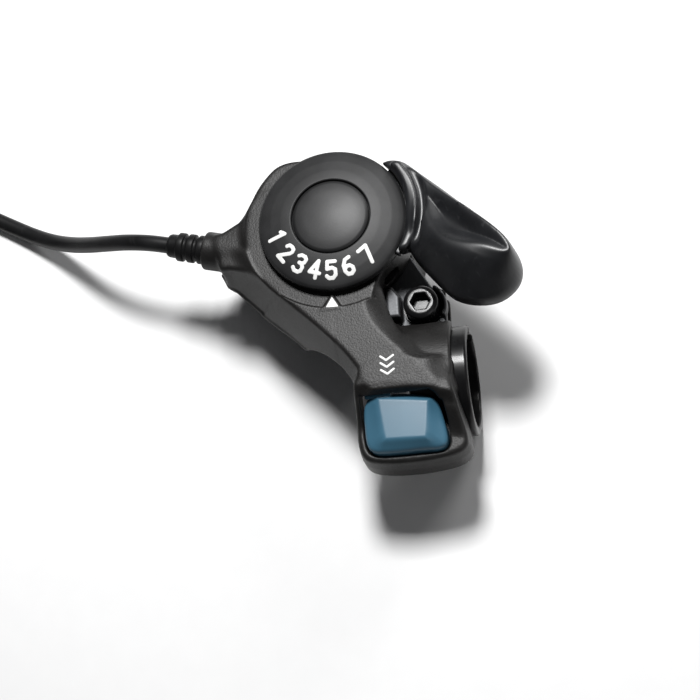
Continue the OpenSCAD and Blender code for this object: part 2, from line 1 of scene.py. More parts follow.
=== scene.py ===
"""Looks of a bicycle thumb shifter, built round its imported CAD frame."""

import functools
import math

import bpy
import numpy as np
from mathutils import Matrix, Vector


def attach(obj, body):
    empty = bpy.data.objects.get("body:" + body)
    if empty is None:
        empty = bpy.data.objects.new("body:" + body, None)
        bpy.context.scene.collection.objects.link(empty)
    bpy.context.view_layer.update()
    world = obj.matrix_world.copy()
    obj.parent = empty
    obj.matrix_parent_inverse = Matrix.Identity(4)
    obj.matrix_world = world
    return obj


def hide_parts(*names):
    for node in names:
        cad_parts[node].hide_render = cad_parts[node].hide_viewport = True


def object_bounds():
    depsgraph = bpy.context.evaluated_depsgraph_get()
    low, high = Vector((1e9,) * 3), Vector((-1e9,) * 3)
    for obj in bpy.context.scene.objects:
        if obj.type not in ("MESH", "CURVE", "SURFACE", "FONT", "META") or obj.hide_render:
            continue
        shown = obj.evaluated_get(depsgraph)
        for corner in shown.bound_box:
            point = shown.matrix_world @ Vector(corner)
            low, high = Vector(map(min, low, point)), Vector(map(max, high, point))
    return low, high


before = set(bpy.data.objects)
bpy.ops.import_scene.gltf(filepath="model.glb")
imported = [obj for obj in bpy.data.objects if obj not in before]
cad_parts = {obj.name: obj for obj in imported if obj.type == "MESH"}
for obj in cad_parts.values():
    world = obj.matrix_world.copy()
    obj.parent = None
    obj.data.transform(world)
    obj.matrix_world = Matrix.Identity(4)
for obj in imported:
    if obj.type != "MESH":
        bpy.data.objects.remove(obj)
CAD_BOX = [list(c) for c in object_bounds()]
MM = 0.001

# ---------------------------------------------------------------- places, in millimetres
# The bar's axis is the X axis, and the dial's axis stands upright at DIAL.
FLOOR_Z = CAD_BOX[0][2] / MM
DIAL = np.array([-21.9, 37.2])

# Housing: round pod, arm, and the split between its halves
CAVITY_R = 15.8
POD_R = 17.6
LAND_Z = 16.2
ARM_Z = 17.2
ROOF_Z = 15.2
INNER_ROOF_Z = 13.3
SPLIT_Z = 3.0
SPLIT_OVERLAP = 0.02
SHELL_WALL = 2.0
NOSE_END = 29.4
RIM_Z = 10.9
RIM_DROP = 6
SCREW_ANGLES = (140, 182, 238)
SCREW_RING_R = 18.9

# Lever
LEVER_Z = 17.7
HUB_Z = 18.2
LEVER_BORE_R = 4.25

# Clamp, bolt and bracket
BAR_R = 11.1
BAND_R = 13.1
BAND_HALF = 7.0
LUG_GAP_HALF = 2.4
BOLT = np.array([-3.2, 17.1])
BOLT_HOLE_R = 2.7
BOLT_HEAD_Z0, BOLT_HEAD_Z1 = 6.62, 11.15
PLATE_Z0, PLATE_Z1 = 4.2, 5.8

# Release button, slider and pawl
PRESS = 3.0
BUTTON_GAP = 0.42
PAWL_PIN = DIAL + np.array([-3, -17.6])
SLIDER_X = DIAL[0] + 6.4
GUIDE_Z0, GUIDE_Z1 = 11.8, 13.28

# Cable outlet: its axis is a tangent to the wire's path round the drum.
# The nose round it leans a little more towards the bar, along OUTLET_TURN.
OUTLET_TURN = math.radians(186)
OUTLET_ANGLE = math.radians(15.5)
OUT = np.array([-math.cos(OUTLET_ANGLE), math.sin(OUTLET_ANGLE)])
DRUM_R = 8.9
TANGENT = DIAL + DRUM_R * np.array([-math.sin(OUTLET_ANGLE), -math.cos(OUTLET_ANGLE)])
CABLE_Z = 10.0
CORD_R = 2.0
CAP_T0, CAP_T1 = 31.6, 41.0
CAP_SOCKET = 4.0

# Grid for the largest meshes
FINE = 0.33


# ---------------------------------------------------------------- distance fields
def smax(a, b, k):
    """Larger of two fields, with the edge rounded over about k."""
    h = np.maximum(k - np.abs(a - b), 0) / k
    return np.maximum(a, b) + h * h * k / 4


def smin(a, b, k):
    """Smaller of two fields, with the corner filled over about k."""
    return -smax(-a, -b, k)


def step(x, a, b):
    """Smooth rise from 0 at a to 1 at b."""
    t = np.clip((x - a) / (b - a), 0, 1)
    return t * t * (3 - 2 * t)


def joined(*fields):
    """All of the fields together, with sharp seams."""
    return functools.reduce(np.minimum, fields)


def slab(z, z0, z1):
    """Negative between z0 and z1."""
    return np.maximum(z0 - z, z - z1)


def disc(x, y, centre, r):
    """Distance in the plane outside a circle."""
    return np.hypot(x - centre[0], y - centre[1]) - r


def capsule(x, y, a, b, r):
    """Distance to a round-ended bar from a to b in the plane."""
    d = np.array(b, float) - a
    t = np.clip(((x - a[0]) * d[0] + (y - a[1]) * d[1]) / (d @ d), 0, 1)
    return np.hypot(x - a[0] - t * d[0], y - a[1] - t * d[1]) - r


def polygon(x, y, points):
    """Signed distance to a closed outline, negative inside."""
    x, y = np.broadcast_arrays(x, y)
    best = np.full(x.shape, np.inf)
    inside = np.zeros(x.shape, bool)
    n = len(points)
    for i in range(n):
        (ax, ay), (bx, by) = points[i], points[(i + 1) % n]
        dx, dy = bx - ax, by - ay
        t = np.clip(((x - ax) * dx + (y - ay) * dy) / (dx * dx + dy * dy + 1e-12), 0, 1)
        best = np.minimum(best, (x - ax - t * dx) ** 2 + (y - ay - t * dy) ** 2)
        if ay != by:
            cross = (ay > y) != (by > y)
            inside ^= cross & (x < ax + (y - ay) * dx / dy)
    return np.sqrt(best) * np.where(inside, -1, 1)


def catmull(a, b, c, d, t):
    """Place on the smooth curve from b to c, with a before and d after."""
    return 0.5 * (2 * b + (c - a) * t + (2 * a - 5 * b + 4 * c - d) * t ** 2
                  + (3 * b - a - 3 * c + d) * t ** 3)


def smooth_outline(points, per=4):
    """Closed smooth curve through given points."""
    p = np.array(points, float)
    n = len(p)
    return [tuple(catmull(p[i - 1], p[i], p[(i + 1) % n], p[(i + 2) % n], t))
            for i in range(n) for t in np.arange(per) / per]


def dial_polar(x, y):
    """Distance from the dial's axis, and the angle round it."""
    return np.hypot(x - DIAL[0], y - DIAL[1]), np.arctan2(y - DIAL[1], x - DIAL[0])


def along_outlet(x, y, z):
    """Distance along the cable outlet's axis, and distance from it."""
    t = (x - TANGENT[0]) * OUT[0] + (y - TANGENT[1]) * OUT[1]
    s = (x - TANGENT[0]) * -OUT[1] + (y - TANGENT[1]) * OUT[0]
    return t, np.hypot(s, z - CABLE_Z)


# ---------------------------------------------------------------- meshes from fields
CORNERS = np.array([[i, j, k] for i in (0, 1) for j in (0, 1) for k in (0, 1)])
EDGES = [(a, b) for a in range(8) for b in range(a + 1, 8)
         if np.abs(CORNERS[a] - CORNERS[b]).sum() == 1]


def surface(field, lo, hi, size, rounds=2):
    """Closed surface of field < 0, as points in millimetres and quads."""
    lo, hi = np.array(lo, float), np.array(hi, float)
    n = np.ceil((hi - lo) / size).astype(int) + 1
    ax = [lo[i] + size * np.arange(n[i]) for i in range(3)]
    v = field(ax[0][:, None, None], ax[1][None, :, None], ax[2][None, None, :])
    v = np.array(np.broadcast_to(v, n), np.float32)
    v[[0, -1]] = np.maximum(v[[0, -1]], size)
    v[:, [0, -1]] = np.maximum(v[:, [0, -1]], size)
    v[:, :, [0, -1]] = np.maximum(v[:, :, [0, -1]], size)
    neg = v < 0
    # One point for each cell that the surface crosses, in the middle of its crossings
    count = sum(neg[i:n[0] - 1 + i, j:n[1] - 1 + j, k:n[2] - 1 + k].astype(np.int8)
                for i, j, k in CORNERS)
    cells = np.argwhere((count > 0) & (count < 8))
    index = np.full(n - 1, -1, np.int64)
    index[tuple(cells.T)] = np.arange(len(cells))
    corner = [v[tuple((cells + c).T)] for c in CORNERS]
    total = np.zeros((len(cells), 3))
    hits = np.zeros(len(cells))
    for a, b in EDGES:
        crossed = (corner[a] < 0) != (corner[b] < 0)
        t = corner[a] / np.where(crossed, corner[a] - corner[b], 1)
        point = CORNERS[a] + t[:, None] * (CORNERS[b] - CORNERS[a])
        total += np.where(crossed[:, None], point, 0)
        hits += crossed
    points = lo + size * (cells + total / hits[:, None])
    # One quad for each step of the grid that crosses the surface
    quads = []
    for axis in range(3):
        a = [slice(None)] * 3
        b = [slice(None)] * 3
        a[axis], b[axis] = slice(0, -1), slice(1, None)
        change = neg[tuple(a)] != neg[tuple(b)]
        p, q = [i for i in range(3) if i != axis]
        at = np.argwhere(change)
        at = at[(at[:, p] > 0) & (at[:, q] > 0) & (at[:, p] < n[p] - 1) & (at[:, q] < n[q] - 1)]
        ring = []
        for dp, dq in ((0, 0), (-1, 0), (-1, -1), (0, -1)):
            c = at.copy()
            c[:, p] += dp
            c[:, q] += dq
            ring.append(index[tuple(c.T)])
        face = np.stack(ring, 1)
        flip = neg[tuple(at.T)] == (axis == 1)
        face[flip] = face[flip][:, ::-1]
        quads.append(face)
    # Each point is drawn onto the surface along the slope of the field
    for _ in range(rounds):
        e = 0.02
        f = field(*points.T)
        g = np.stack([field(*(points + e * d).T) - f for d in np.eye(3)], 1) / e
        move = -(f / np.maximum((g * g).sum(1), 0.25))[:, None] * g
        far = np.linalg.norm(move, axis=1, keepdims=True)
        points += move * np.minimum(1, 0.45 * size / np.maximum(far, 1e-9))
    return points, np.concatenate(quads)


def piece(name, points, faces):
    """Smooth-shaded mesh object from points in millimetres and lists of corners."""
    mesh = bpy.data.meshes.new(name)
    mesh.from_pydata((points * MM).tolist(), [], faces)
    mesh.validate()
    for p in mesh.polygons:
        p.use_smooth = True
    obj = bpy.data.objects.new(name, mesh)
    bpy.context.scene.collection.objects.link(obj)
    return obj


def solid(name, field, lo, hi, size, rounds=2):
    """Mesh of the field inside the box from lo to hi, on a grid of the given size."""
    points, quads = surface(field, lo, hi, size, rounds)
    return piece(name, points, quads.tolist())


def lathe(name, profile, centre=(0, 0), steps=96, closed=True):
    """Turned piece: profile is (radius, height) pairs, closed on itself or ending on the axis."""
    rows = [np.array(p, float) for p in profile]
    points, index = [], []
    for r, h in rows:
        if r < 1e-6:
            index.append([len(points)] * steps)
            points.append((0, 0, h))
        else:
            index.append(list(range(len(points), len(points) + steps)))
            points += [(r * math.cos(2 * math.pi * i / steps), r * math.sin(2 * math.pi * i / steps), h)
                       for i in range(steps)]
    faces = []
    pairs = list(zip(index[:-1], index[1:])) + ([(index[-1], index[0])] if closed else [])
    for a, b in pairs:
        for i in range(steps):
            j = (i + 1) % steps
            ring = [a[i], a[j], b[j], b[i]]
            ring = [x for k, x in enumerate(ring) if x not in ring[:k]]
            if len(ring) > 2:
                faces.append(tuple(ring))
    p = np.array(points, float)
    p[:, :2] += centre
    return piece(name, p, faces)


def round_profile(points, radius=0.25, steps=3):
    """The closed outline again, with each corner rounded by short chords."""
    p = [np.array(q, float) for q in points]
    out = []
    for i, b in enumerate(p):
        a, c = p[i - 1], p[(i + 1) % len(p)]
        if b[0] < 1e-6:
            out.append(tuple(b))
            continue
        ta, tc = a - b, c - b
        la, lc = np.linalg.norm(ta), np.linalg.norm(tc)
        r = min(radius, la * 0.4, lc * 0.4)
        p0, p1 = b + ta / la * r, b + tc / lc * r
        for s in np.linspace(0, 1, steps + 1):
            out.append(tuple((1 - s) ** 2 * p0 + 2 * s * (1 - s) * b + s ** 2 * p1))
    return out


def lay_along(obj, axis, at):
    """Turns a lathe's upright axis to lie along a level one, and moves its foot to a place."""
    across = Vector((0, 0, 1)).cross(axis)
    turn = Matrix(((*across, 0), (0, 0, 1, 0), (*axis, 0), (0, 0, 0, 1))).transposed()
    obj.data.transform(Matrix.Translation(at * MM) @ turn)
    obj.data.update()


def spline(points, step_mm=1.0):
    """Smooth line through points, sampled evenly."""
    p = np.array(points, float)
    ends = np.vstack([2 * p[0] - p[1], p, 2 * p[-1] - p[-2]])
    out = []
    for i in range(1, len(ends) - 2):
        a, b, c, d = ends[i - 1:i + 3]
        n = max(2, int(np.linalg.norm(c - b) / step_mm))
        out += [catmull(a, b, c, d, t) for t in np.arange(n) / n]
    out.append(p[-1])
    return np.array(out)


# ---------------------------------------------------------------- camera and light
RIGHT = Vector((0.98155, -0.0465, -0.18549))
UP = Vector((0.11008, 0.93055, 0.34922))
BACK = Vector((0.15637, -0.3632, 0.9185))
VIEW_CENTRE = Vector((-21.12, 8.39, 6.91))
VIEW_DISTANCE = 540
camera = bpy.data.objects.new("camera", bpy.data.cameras.new("camera"))
bpy.context.scene.collection.objects.link(camera)
camera.data.lens = 117.5
camera.data.sensor_width = 36
camera.data.clip_start = 0.01
turn = Matrix((RIGHT, UP, BACK)).transposed().to_4x4()
camera.matrix_world = Matrix.Translation((VIEW_CENTRE + VIEW_DISTANCE * BACK) * MM) @ turn
bpy.context.scene.camera = camera


def lamp(name, place_mm, aim_mm, power, width):
    data = bpy.data.lights.new(name, "AREA")
    data.energy = power
    data.size = width * MM
    obj = bpy.data.objects.new(name, data)
    obj.location = Vector(place_mm) * MM
    aim = Vector(aim_mm) - Vector(place_mm)
    obj.rotation_euler = aim.to_track_quat("-Z", "Y").to_euler()
    bpy.context.scene.collection.objects.link(obj)


MIDDLE = (-15, 15, 5)
lamp("key_light", (0, 225, 450), MIDDLE, 4.3, 120)
lamp("fill_light", (320, -260, 300), MIDDLE, 0.3, 240)
lamp("rim_light", (260, 380, 240), MIDDLE, 0.9, 160)
world = bpy.data.worlds.new("studio")
bpy.context.scene.world = world
world.use_nodes = True
world.node_tree.nodes["Background"].inputs[0].default_value = (0.95, 0.96, 1, 1)
world.node_tree.nodes["Background"].inputs[1].default_value = 0.07
bpy.context.scene.view_settings.view_transform = "Standard"


# ---------------------------------------------------------------- materials
def material(name, colour, rough, second=None, metal=0.0, coat=0.0, coat_rough=0.15, grain=3000,
             bump=0.15, depth=0.00003, wear=None, patch=160, spread=0.06, specular=0.5, edge=None):
    """Procedural finish: two tones mixed by broad patches, fine grain in bump and roughness."""
    m = bpy.data.materials.new(name)
    m.use_nodes = True
    t = m.node_tree
    n, link = t.nodes, t.links.new
    bsdf = n["Principled BSDF"]
    bsdf.inputs["Metallic"].default_value = metal
    bsdf.inputs["Coat Weight"].default_value = coat
    bsdf.inputs["Coat Roughness"].default_value = coat_rough
    bsdf.inputs["Specular IOR Level"].default_value = specular
    where = n.new("ShaderNodeTexCoord")
    broad = n.new("ShaderNodeTexNoise")
    broad.inputs["Scale"].default_value = patch
    broad.inputs["Detail"].default_value = 4
    link(where.outputs["Object"], broad.inputs["Vector"])
    fine = n.new("ShaderNodeTexNoise")
    fine.inputs["Scale"].default_value = grain
    link(where.outputs["Object"], fine.inputs["Vector"])
    tone = n.new("ShaderNodeMix")
    tone.data_type = "RGBA"
    tone.inputs["A"].default_value = (*colour, 1)
    tone.inputs["B"].default_value = (*(second or [c * 1.35 + 0.004 for c in colour]), 1)
    curve = n.new("ShaderNodeMapRange")
    curve.inputs["From Min"].default_value = 0.35
    curve.inputs["From Max"].default_value = 0.7
    link(broad.outputs["Fac"], curve.inputs["Value"])
    link(curve.outputs["Result"], tone.inputs["Factor"])
    colour_out = tone.outputs["Result"]
    if wear:
        scuff = n.new("ShaderNodeTexNoise")
        scuff.inputs["Scale"].default_value = 420
        scuff.inputs["Detail"].default_value = 8
        scuff.inputs["Distortion"].default_value = 1.5
        stretch = n.new("ShaderNodeMapping")
        stretch.inputs["Scale"].default_value = (1, 0.3, 1)
        stretch.inputs["Rotation"].default_value = (0, 0, 0.7)
        link(where.outputs["Object"], stretch.inputs["Vector"])
        link(stretch.outputs["Vector"], scuff.inputs["Vector"])
        cut = n.new("ShaderNodeMapRange")
        cut.inputs["From Min"].default_value = 0.64
        cut.inputs["From Max"].default_value = 0.72
        cut.inputs["To Max"].default_value = wear
        link(scuff.outputs["Fac"], cut.inputs["Value"])
        worn = n.new("ShaderNodeMix")
        worn.data_type = "RGBA"
        worn.inputs["B"].default_value = (*[min(1, c * 2.4 + 0.05) for c in colour], 1)
        link(cut.outputs["Result"], worn.inputs["Factor"])
        link(colour_out, worn.inputs["A"])
        colour_out = worn.outputs["Result"]
    # edge paints a highlight: the colour is made lighter along sharp convex edges, found by pointiness
    if edge:
        geometry = n.new("ShaderNodeNewGeometry")
        sharp = n.new("ShaderNodeMapRange")
        sharp.inputs["From Min"].default_value = 0.53
        sharp.inputs["From Max"].default_value = 0.62
        sharp.inputs["To Max"].default_value = edge
        link(geometry.outputs["Pointiness"], sharp.inputs["Value"])
        edge_highlight = n.new("ShaderNodeMix")
        edge_highlight.data_type = "RGBA"
        edge_highlight.inputs["B"].default_value = (*[min(1, c * 3 + 0.08) for c in colour], 1)
        link(sharp.outputs["Result"], edge_highlight.inputs["Factor"])
        link(colour_out, edge_highlight.inputs["A"])
        colour_out = edge_highlight.outputs["Result"]
    link(colour_out, bsdf.inputs["Base Color"])
    gloss = n.new("ShaderNodeMapRange")
    gloss.inputs["To Min"].default_value = max(0.02, rough - spread)
    gloss.inputs["To Max"].default_value = rough + spread
    link(fine.outputs["Fac"], gloss.inputs["Value"])
    link(gloss.outputs["Result"], bsdf.inputs["Roughness"])
    relief = n.new("ShaderNodeBump")
    relief.inputs["Strength"].default_value = bump
    relief.inputs["Distance"].default_value = depth
    link(fine.outputs["Fac"], relief.inputs["Height"])
    link(relief.outputs["Normal"], bsdf.inputs["Normal"])
    return m


def dress(obj, mat):
    obj.data.materials.clear()
    obj.data.materials.append(mat)
    return obj


def keep(obj, mat, body, slot_name, *nodes):
    """Gives a piece its finish and body, and hides the CAD nodes that it stands for; slot_name is not
    used.
    """
    dress(obj, mat)
    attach(obj, body)
    if nodes:
        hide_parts(*nodes)


M_DIAL = material("dial_plastic", (0.0085, 0.0086, 0.009), 0.5, specular=0.26, grain=5200,
                  bump=0.35, depth=0.00004)
M_CAP = material("cap_plastic", (0.0095, 0.0096, 0.01), 0.46, specular=0.3, grain=5200,
                 bump=0.3, depth=0.00004)
M_TOP = material("housing_plastic", (0.0058, 0.0055, 0.0053), 0.45, specular=0.24, grain=2400,
                 bump=0.6, depth=0.0001, spread=0.08)
M_CUP = material("lower_plastic", (0.0032, 0.0032, 0.0034), 0.42, specular=0.12, grain=2600, bump=0.25)
M_LEVER = material("lever_plastic", (0.0048, 0.0051, 0.006), 0.38, specular=0.34, grain=4200,
                   bump=0.12, wear=0.22, coat=0.08, coat_rough=0.3)
M_BUTTON = material("button_plastic", (0.028, 0.085, 0.13), 0.42, second=(0.034, 0.1, 0.15),
                    grain=3800, bump=0.2, coat=0.05, coat_rough=0.35, patch=90, specular=0.3)
M_BAND = material("black_enamel", (0.003, 0.003, 0.0033), 0.3, specular=0.16, grain=900,
                  bump=0.12, coat=0.12, coat_rough=0.12, wear=0.08)
# edge=0.6 paints a highlight along the bracket's sharp edges
M_BRACKET = material("bracket_metal", (0.032, 0.033, 0.035), 0.45, metal=0.7, grain=2400, bump=0.25,
                     wear=0.3, edge=0.6)
M_ZINC = material("zinc_plate", (0.52, 0.52, 0.5), 0.3, metal=1.0, grain=1800, bump=0.2, patch=240)
M_SPRING = material("spring_wire", (0.45, 0.45, 0.46), 0.25, metal=1.0, grain=2600, bump=0.2)
M_BRASS = material("bearing_brass", (0.62, 0.44, 0.18), 0.32, metal=1.0, grain=2000, bump=0.2)
M_DRUM = material("drum_resin", (0.55, 0.55, 0.52), 0.45, grain=3000, bump=0.3)
M_INNER = material("inner_resin", (0.05, 0.05, 0.052), 0.5, grain=3000, bump=0.3)
M_CABLE = material("cable_jacket", (0.004, 0.004, 0.0043), 0.42, specular=0.22, grain=2200,
                   bump=0.3, wear=0.1)
M_PAINT = material("white_paint", (0.62, 0.62, 0.61), 0.5, second=(0.56, 0.56, 0.55), grain=5200,
                   bump=0.4)
M_FLOOR = material("floor_paper", (0.68, 0.68, 0.68), 0.8, second=(0.69, 0.69, 0.69), grain=900,
                   bump=0.05, specular=0.2)

REACH = 2.5
floor_mesh = bpy.data.meshes.new("floor")
floor_mesh.from_pydata([(-REACH, -REACH, FLOOR_Z * MM), (REACH, -REACH, FLOOR_Z * MM),
                        (REACH, REACH, FLOOR_Z * MM), (-REACH, REACH, FLOOR_Z * MM)], [],
                       [(0, 1, 2, 3)])
floor = bpy.data.objects.new("floor", floor_mesh)
bpy.context.scene.collection.objects.link(floor)
dress(floor, M_FLOOR)

# ---------------------------------------------------------------- the cable
CABLE_START = [*(TANGENT + (CAP_T1 - CAP_SOCKET + 0.1) * OUT), CABLE_Z]
ROUTE = [
    [-63.6, 39.5, 23.1], [-69, 41, 22.8], [-75, 42.7, 21], [-81, 44.6, 17.6],
    [-87, 47, 13], [-93, 49.8, 8.4], [-99, 52.9, 4.8], [-105, 56.3, 2.8],
    [-111, 59.9, 2.1], [-117, 63.5, 2], [-123, 67.2, 2], [-129, 70.9, 2],
]
COIL_AT = (-146, 52)
OUTER_R, INNER_R, TAIL_R = 25, 21, 23
STEP_IN = (340, 380)
CLIMB = (700, 740)
CLIMB_RISE, LAST_RISE = 3.46, 0.64
COIL_TURN = 864
TAIL_ANGLE = 202
TAIL_Z = 2.9
TAIL = [[12, 6.1], [15, 5.95], [18, 5.5], [21, 4.8], [24, 4], [27, 3.35], [30, 2.95],
        [33, TAIL_Z], [36, TAIL_Z]]


def coil_place(turned):
    """Radius and height above the floor after so many degrees of the coil.

    The first turn is the outer one, the second lies inside it, and the rest on top of both.
    """
    climb = step(turned, *CLIMB)
    r = OUTER_R + (INNER_R - OUTER_R) * step(turned, *STEP_IN) + (TAIL_R - INNER_R) * climb
    return r, CORD_R + CLIMB_RISE * climb + LAST_RISE * step(turned, 800, COIL_TURN)


line = [CABLE_START] + [[x, y, FLOOR_Z + h] for x, y, h in ROUTE]
for turned in np.arange(0, COIL_TURN + 1, 12.0):
    r, h = coil_place(turned)
    a = math.radians(TAIL_ANGLE - COIL_TURN + turned)
    line.append([COIL_AT[0] + r * math.cos(a), COIL_AT[1] + r * math.sin(a), FLOOR_Z + h])
a = math.radians(TAIL_ANGLE)
for along, h in TAIL:
    line.append([COIL_AT[0] + TAIL_R * math.cos(a) - along * math.sin(a),
                 COIL_AT[1] + TAIL_R * math.sin(a) + along * math.cos(a), FLOOR_Z + h])
cable_line = spline(line, 1.2)
curve = bpy.data.curves.new("cable", "CURVE")
curve.dimensions = "3D"
curve.bevel_depth = CORD_R * MM
curve.bevel_resolution = 6
curve.use_fill_caps = True
run = curve.splines.new("POLY")
run.points.add(len(cable_line) - 1)
for point, at in zip(run.points, cable_line):
    point.co = (*(at * MM), 1)
run.use_smooth = True
cable = bpy.data.objects.new("shift_cable", curve)
bpy.context.scene.collection.objects.link(cable)
keep(cable, M_CABLE, "root", "cable_jacket", "cable_housing", "cable_coil", "cable_tail")

# ---------------------------------------------------------------- upper housing
BLOCK = smooth_outline([(-19.6, -3), (-19.9, -10), (-19.8, -17), (-18.2, -20.6), (-14, -22),
                        (-7.4, -22.45), (-1, -22.1), (3.4, -21.2), (5.6, -19.6), (6, -17.2),
                        (5.2, -11), (4.2, -4), (3.6, 1), (-6, 2), (-15.5, 1)])
BUTTON = smooth_outline([(-17.7, -9), (-17, -6.3), (-14.4, -5.5), (-9, -5.6), (-3.5, -6.7),
                         (-0.7, -8.2), (0.4, -11.5), (1.25, -16), (1.2, -18.9), (-0.4, -20.1),
                         (-5, -20.15), (-11.5, -20.1), (-15.6, -19.6), (-17.3, -17.6),
                         (-17.7, -13)])
FACET = [(-14.2, -7.2), (-12.9, -17.6), (-3.2, -18.1), (-2.1, -8.9)]


def flare(turn):
    """How far the wall stands out: 1 round the back and left, 0 where the lever sweeps."""
    degrees = np.degrees(turn)
    return 1 - step(degrees, -76, -50) * (1 - step(degrees, 98, 132))


def outlet_frame(x, y):
    """Distance from the dial's axis towards the outlet, and distance to its side."""
    x, y = x - DIAL[0], y - DIAL[1]
    c, s = math.cos(OUTLET_TURN), math.sin(OUTLET_TURN)
    return x * c + y * s, -x * s + y * c


def bend(v, at, values):
    """Smooth curve through a few points, held level past its ends."""
    return np.polyval(np.polyfit(at, values, len(at) - 1), np.clip(v, at[0], at[-1]))


def arm_sides(y, z):
    """The arm's left and right limits at each place along it and each height."""
    left_low = bend(y, [-15.1, -3, 9, 21], [-20.45, -22.75, -30.35, -42.4])
    left_top = bend(y, [-15, -4, 8, 19.5], [-16.05, -16, -23.75, -34.55])
    up = np.clip((z - SPLIT_Z) / (ARM_Z - SPLIT_Z), 0, 1)
    left = left_low + (left_top - left_low) * (0.25 * up + 0.75 * up ** 1.3)
    right_low = bend(y, [-5, 2, 8, 14, 21], [4.1, -1.05, -6.85, -10.25, -12.05])
    right_top = bend(y, [-5, 3, 11, 19], [-0.35, -7.1, -13.45, -14.55])
    tilt = np.clip((z - 13) / (ARM_Z - 13), 0, 1)
    return left, right_low + (right_top - right_low) * tilt ** 1.3


def flank_field(x, y, z):
    """Flat side wall that runs from the cable outlet to the arm, with a small ledge at its foot."""
    ledge, foot_z = 0.9, SPLIT_Z + 1.2
    low = bend(y, [-2.2, 10, 21, 33], [-22.9, -31.3, -42.3, -52.65])
    top = bend(y, [-2.1, 10, 21, 32.8], [-16.85, -25.05, -36.25, -43.85])
    up = np.clip((z - foot_z) / (LAND_Z - foot_z), 0, 1)
    left = low + ledge * step(z, 3.6, 4.4) + (top - low - ledge) * up ** 1.15
    return smax(smax((left - x) * 0.7, x + 24, 0.5), smax(z - LAND_Z, slab(y, 2, 33), 0.6), 0.7)


def arm_field(x, y, z):
    left, right = arm_sides(y, z)
    sides = smax((left - x) * 0.9, (x - right) * 0.82, 1.2)
    return smax(smax(sides, z - ARM_Z, 0.9), slab(y, -RIM_DROP, 20.5), 0.5)


def hood_top(x, y):
    """Height of the rim round the button, rising to the hood behind it."""
    crest = np.interp(x, [-20, -15.5, -11.1, -6.6, -2.3, 0.9, 6],
                      [-4.6, -4.5, -4.4, -5, -6.3, -7.6, -8.8])
    rise = 4.3 * step(y - crest, -9.5, -1.8) + 2.0 * step(y - crest, -2.6, 0.6)
    fall = 3.2 * step(x, -3, 5) * step(y, -8, 3)
    return RIM_Z + rise - fall


def upper_pod(x, y, z):
    """Round wall below the dial, leaning in towards the top."""
    r, turn = dial_polar(x, y)
    widest = np.interp(z, [3, 4.0, 4.5, 9, 13, 15.4, 16.3], [26, 26, 25.2, 23.3, 22.2, 21.7, 21.4])
    wall = POD_R + (widest - POD_R) * flare(turn)
    return smax((r - wall) * 0.95, z - LAND_Z, 0.9)


def upper_nose(x, y, z):
    """Tapered nose of the cable outlet, with its round boss."""
    u, v = outlet_frame(x, y)
    half = np.interp(u, [15, 18, 23, 27.2, NOSE_END], [11.5, 9.6, 6.6, 5, 4.7])
    nose = smax(smax(np.abs(v) - half, slab(u, 14, NOSE_END), 1.2), z - (15.3 - 0.06 * (u - 18)), 1.4)
    along, away = along_outlet(x, y, z)
    boss = smax(away - 4.65, slab(along, 16, CAP_T0 - 0.1), 0.6)
    return smin(nose, boss, 1.2)


def upper_shell(x, y, z):
    """Outside of the upper housing, as if it were solid."""
    pod = smin(upper_pod(x, y, z), flank_field(x, y, z), 0.8)
    body = smin(smin(pod, upper_nose(x, y, z), 2.2), arm_field(x, y, z), 1.4)
    draft = 0.09 * np.maximum(z - 8, -1.5)
    block = smax(polygon(x, y, BLOCK) + draft, z - hood_top(x, y), 1.3)
    bar = np.hypot(y, z)
    cover = smax(smax(bar - 15.2, slab(x, -10, 3.55), 0.7), smax(7.4 - z, -RIM_DROP - y, 0.5), 0.5)
    body = smin(smin(body, block, 1.8), cover, 1.2)
    body = smax(body, z - ARM_Z - 0.1, 0.5)
    foot = np.minimum(SPLIT_Z + SPLIT_OVERLAP - z + 0 * x, np.maximum(2 - z, y + RIM_DROP))
    return np.maximum(body, foot)


def button_sweep(x, y):
    """Outline that the button covers between rest and fully pressed, with its gap."""
    reach = PRESS + 0.2
    return joined(*(polygon(x, y - reach * k, BUTTON) for k in (0, 0.5, 1))) - BUTTON_GAP


